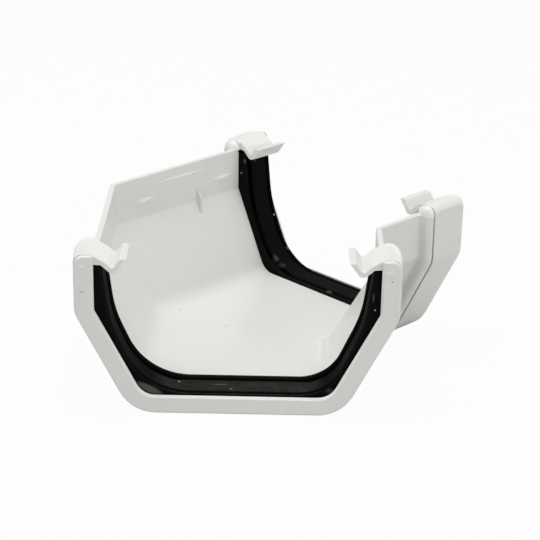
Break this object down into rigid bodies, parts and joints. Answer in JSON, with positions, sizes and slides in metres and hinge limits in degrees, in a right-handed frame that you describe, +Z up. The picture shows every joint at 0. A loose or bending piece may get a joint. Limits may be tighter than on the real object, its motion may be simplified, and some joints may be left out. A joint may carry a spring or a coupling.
{
  "type": "gutter angle",
  "caption": "Half-hexagon gutter corner with a shallow turn, a clip-on socket with a black seal at each end, and springy clips over the walls.",
  "frame": {"origin": "point on the flat underside of the trough's floor where the centrelines of the two legs cross", "axes": "+Z up, out of the open top of the trough. -Y out of the front mouth, along the first leg. The second leg runs level, half way between +X and +Y."},
  "size_m": [0.164, 0.1705, 0.0707],
  "materials": {
    "upvc_body": "white moulded uPVC, low gloss",
    "upvc_strap": "white moulded uPVC, low gloss",
    "epdm_seal": "black EPDM rubber, slightly shiny"
  },
  "bodies": {
    "root": {"gutter_angle_body": "upvc_body", "strap_front": "upvc_strap", "strap_side": "upvc_strap", "seal_front": "epdm_seal", "seal_side": "epdm_seal"}
  },
  "joints": []
}
